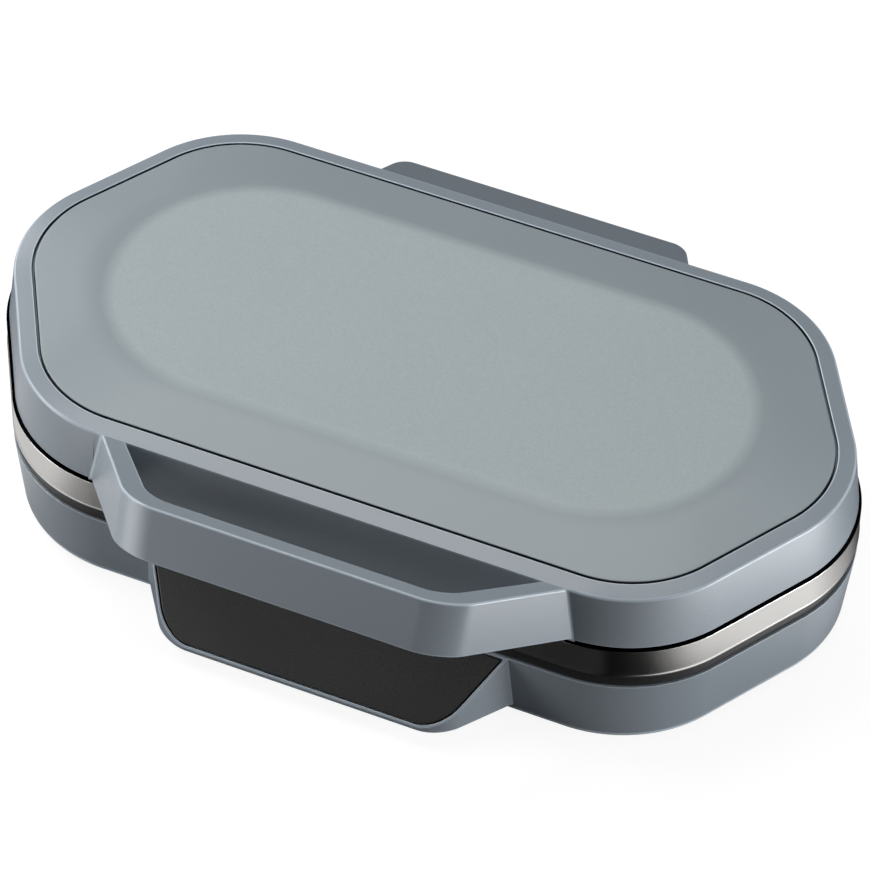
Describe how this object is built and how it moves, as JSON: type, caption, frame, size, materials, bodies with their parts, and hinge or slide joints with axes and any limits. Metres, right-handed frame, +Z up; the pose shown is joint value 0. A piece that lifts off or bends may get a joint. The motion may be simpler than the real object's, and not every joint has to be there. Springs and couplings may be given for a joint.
{
  "type": "double waffle maker",
  "caption": "Countertop waffle maker with a long hexagonal housing, hinged lid, loop handle, steel band and paired round waffle wells.",
  "frame": {"origin": "middle of the object's plan on the surface that it stands on", "axes": "+X to the right along the housing's length, -Y towards the user and the handle, +Z up"},
  "size_m": [0.38, 0.275, 0.1019],
  "materials": {
    "housing_grey": "satin moulded plastic",
    "panel_grey": "fine-grained satin plastic",
    "bright_steel": "polished sheet steel",
    "nonstick_plate": "black non-stick coating",
    "element_sheath": "dull heat-tinted sheath",
    "shield_sheet": "plain sheet",
    "insulation": "pressed mineral fibre",
    "screw_steel": "zinc plated",
    "hinge_grey": "satin moulded plastic",
    "black_plastic": "satin moulded plastic",
    "rubber": "matt",
    "console_black": "satin black",
    "red_lens": "translucent",
    "green_lens": "translucent",
    "circuit_board": "lacquered board",
    "terminal_white": "nylon",
    "lead_insulation": "silicone"
  },
  "bodies": {
    "base": {"base_shell": "housing_grey", "base_cover": "black_plastic", "rubber_feet": "rubber", "base_screws": "screw_steel", "console_panel": "console_black", "power_light": "red_lens", "ready_light": "green_lens", "indicator_board": "circuit_board", "lower_waffle_plate": "nonstick_plate", "lower_heating_element": "element_sheath", "lower_heat_shield": "shield_sheet", "thermostat": "shield_sheet", "lower_thermal_fuse": "shield_sheet", "terminal_block": "terminal_white", "inner_leads": "lead_insulation", "cord_gland": "black_plastic", "cord_clamp": "black_plastic"},
    "lid": {"lid_shell": "housing_grey", "lid_panel": "panel_grey", "handle_insert": "housing_grey", "steel_band": "bright_steel", "upper_waffle_plate": "nonstick_plate", "upper_heating_element": "element_sheath", "upper_heat_shield": "shield_sheet", "upper_insulation_pad": "insulation", "upper_thermal_fuse": "shield_sheet", "upper_plate_screws": "screw_steel", "hinge_cover": "hinge_grey", "hinge_cover_screws": "screw_steel", "hinge_pins": "screw_steel"}
  },
  "joints": [
    {"name": "lid_hinge", "type": "hinge", "parent": "base", "child": "lid", "pos_m": [0, 0.1245, 0.048], "axis": [-1, 0, 0], "range_deg": [0, 105]}
  ]
}
